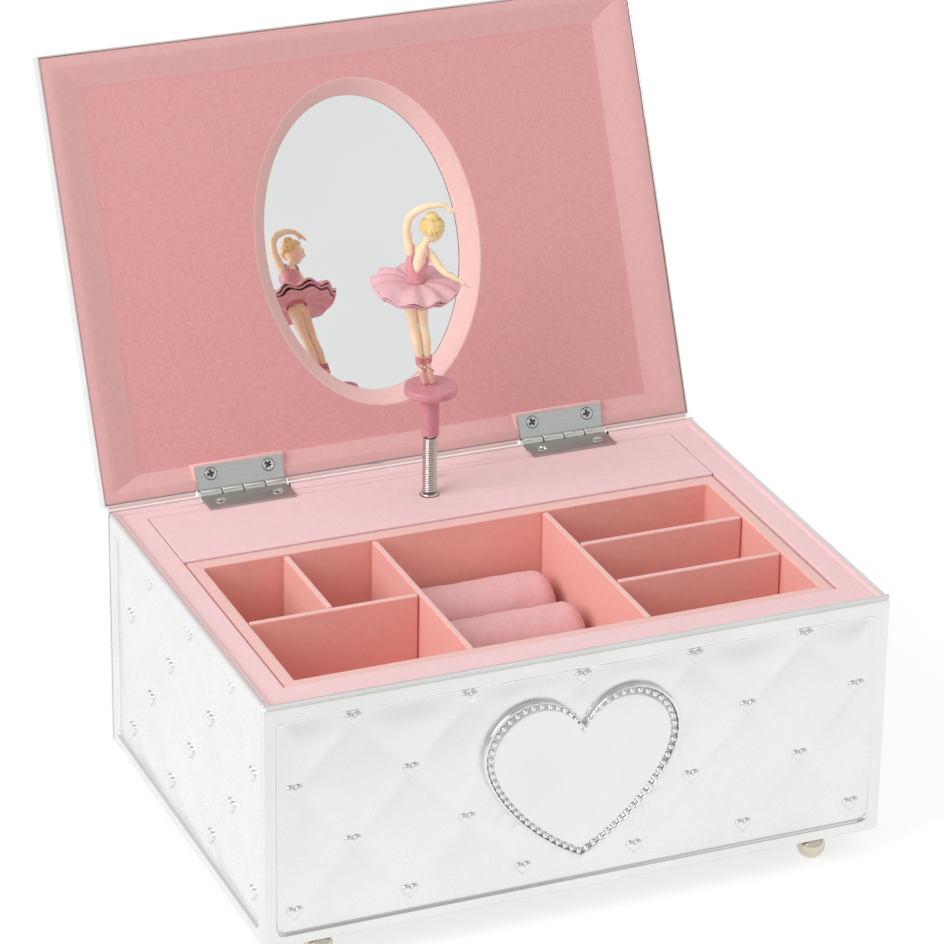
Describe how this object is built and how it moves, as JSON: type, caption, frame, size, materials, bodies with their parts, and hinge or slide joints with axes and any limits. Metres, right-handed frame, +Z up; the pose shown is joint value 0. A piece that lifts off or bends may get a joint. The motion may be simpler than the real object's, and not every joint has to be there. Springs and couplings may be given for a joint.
{
  "type": "ballerina jewellery box",
  "caption": "Musical jewellery box: quilted metal case on ball feet, hinged lid with oval mirror, divided tray with ring rolls, and a spring-mounted dancer that turns and folds.",
  "frame": {"origin": "centre of the case's footprint, on the table under the feet", "axes": "+X right along the front, +Y towards the hinges, +Z up"},
  "size_m": [0.178, 0.1839, 0.1938],
  "materials": {
    "silver_plate": "bright silver plating on embossed sheet, softly polished",
    "polished_plaque": "mirror-polished silver plating",
    "foot_metal": "satin silver plating",
    "hinge_steel": "plated steel, lightly brushed",
    "screw_steel": "plated steel with a cross recess",
    "carcass_board": "raw fibreboard",
    "base_felt": "thin grey felt",
    "deck_flock": "short flock, soft and matte",
    "roll_velvet": "short-pile velvet over foam",
    "tray_flock": "short flock, soft and matte",
    "lid_flock": "short flock with a fine mottle",
    "mirror_glass": "silvered glass",
    "spring_steel": "bright spring steel",
    "movement_steel": "plated steel",
    "movement_casting": "die-cast zinc alloy",
    "movement_brass": "machined brass",
    "pedestal_plastic": "semi-gloss moulded plastic",
    "figure_plastic": "hand-painted moulded plastic",
    "skirt_plastic": "soft moulded plastic"
  },
  "bodies": {
    "root": {"front_panel": "silver_plate", "back_panel": "silver_plate", "left_panel": "silver_plate", "right_panel": "silver_plate", "heart_plate": "polished_plaque", "heart_rim": "polished_plaque", "foot_front_left": "foot_metal", "foot_front_right": "foot_metal", "foot_rear_left": "foot_metal", "foot_rear_right": "foot_metal", "hinge_base_leaf_left": "hinge_steel", "hinge_base_leaf_right": "hinge_steel", "hinge_pin_left": "hinge_steel", "hinge_pin_right": "hinge_steel", "base_screw_1": "screw_steel", "base_screw_2": "screw_steel", "base_screw_3": "screw_steel", "base_screw_4": "screw_steel", "carcass": "carcass_board", "bottom_plate": "carcass_board", "bottom_felt": "base_felt", "liner_frame": "deck_flock", "deck_panel": "deck_flock", "ring_roll_rear": "roll_velvet", "ring_roll_middle": "roll_velvet", "ring_roll_front": "roll_velvet", "tray": "tray_flock", "divider_left_long": "tray_flock", "divider_left_cross": "tray_flock", "divider_left_short": "tray_flock", "divider_right_long": "tray_flock", "divider_right_cross_rear": "tray_flock", "divider_right_cross_front": "tray_flock", "mainspring": "spring_steel", "comb": "spring_steel", "movement_bedplate": "movement_casting", "mainspring_housing": "movement_casting", "governor_frame": "movement_casting", "spindle_bush": "movement_brass"},
    "lid": {"lid_shell": "silver_plate", "lid_liner": "lid_flock", "mirror": "mirror_glass", "hinge_lid_leaf_left": "hinge_steel", "hinge_lid_leaf_right": "hinge_steel", "lid_screw_1": "screw_steel", "lid_screw_2": "screw_steel", "lid_screw_3": "screw_steel", "lid_screw_4": "screw_steel"},
    "spring_column": {"dancer_spring": "spring_steel"},
    "dancer": {"pedestal": "pedestal_plastic", "dancer_body": "figure_plastic", "dancer_skirt": "skirt_plastic"},
    "drive": {"drive_gear": "movement_brass", "winding_key": "movement_steel"},
    "cylinder": {"cylinder": "movement_brass"},
    "train_wheel": {"train_wheel": "movement_brass"},
    "governor": {"governor_fan": "movement_brass"},
    "spindle": {"output_spindle": "movement_steel"},
    "stop_pin": {"stop_pin": "movement_steel"}
  },
  "joints": [
    {"name": "lid_hinge", "type": "hinge", "parent": "root", "child": "lid", "pos_m": [0, 0.06345, 0.0788], "axis": [1, 0, 0], "range_deg": [0, 114]},
    {"name": "dancer_fold", "type": "hinge", "parent": "root", "child": "spring_column", "pos_m": [-0.0008, 0.043, 0.0827], "axis": [1, 0, 0], "range_deg": [0, 96], "deforming": ["dancer_spring", "dancer_skirt"]},
    {"name": "dancer_spin", "type": "hinge", "parent": "spring_column", "child": "dancer", "pos_m": [-0.0008, 0.043, 0.1], "axis": [0, 0, 1], "continuous": true},
    {"name": "drive_spin", "type": "hinge", "parent": "root", "child": "drive", "pos_m": [0.0199, 0.0395, 0.02], "axis": [0, 0, 1], "continuous": true},
    {"name": "spindle_spin", "type": "hinge", "parent": "root", "child": "spindle", "pos_m": [-0.0008, 0.043, 0.04], "axis": [0, 0, 1], "continuous": true},
    {"name": "cylinder_spin", "type": "hinge", "parent": "root", "child": "cylinder", "pos_m": [0.05, 0.0395, 0.03495], "axis": [1, 0, 0], "continuous": true},
    {"name": "wheel_spin", "type": "hinge", "parent": "root", "child": "train_wheel", "pos_m": [0.06, 0.0495, 0.03495], "axis": [1, 0, 0], "continuous": true},
    {"name": "governor_spin", "type": "hinge", "parent": "root", "child": "governor", "pos_m": [0.068, 0.0435, 0.04295], "axis": [1, 0, 0], "continuous": true},
    {"name": "stop_slide", "type": "slide", "parent": "root", "child": "stop_pin", "axis": [0, 0, 1], "range_m": [-0.0015, 0]}
  ],
  "couplings": [
    {"joint": "dancer_fold", "follows": "lid_hinge", "ratio": 0.842},
    {"joint": "stop_slide", "follows": "lid_hinge", "m_per_rad": -0.00075},
    {"joint": "spindle_spin", "follows": "drive_spin", "ratio": -4},
    {"joint": "dancer_spin", "follows": "drive_spin", "ratio": -4},
    {"joint": "cylinder_spin", "follows": "drive_spin", "ratio": 3},
    {"joint": "wheel_spin", "follows": "drive_spin", "ratio": -12},
    {"joint": "governor_spin", "follows": "drive_spin", "ratio": 48}
  ]
}
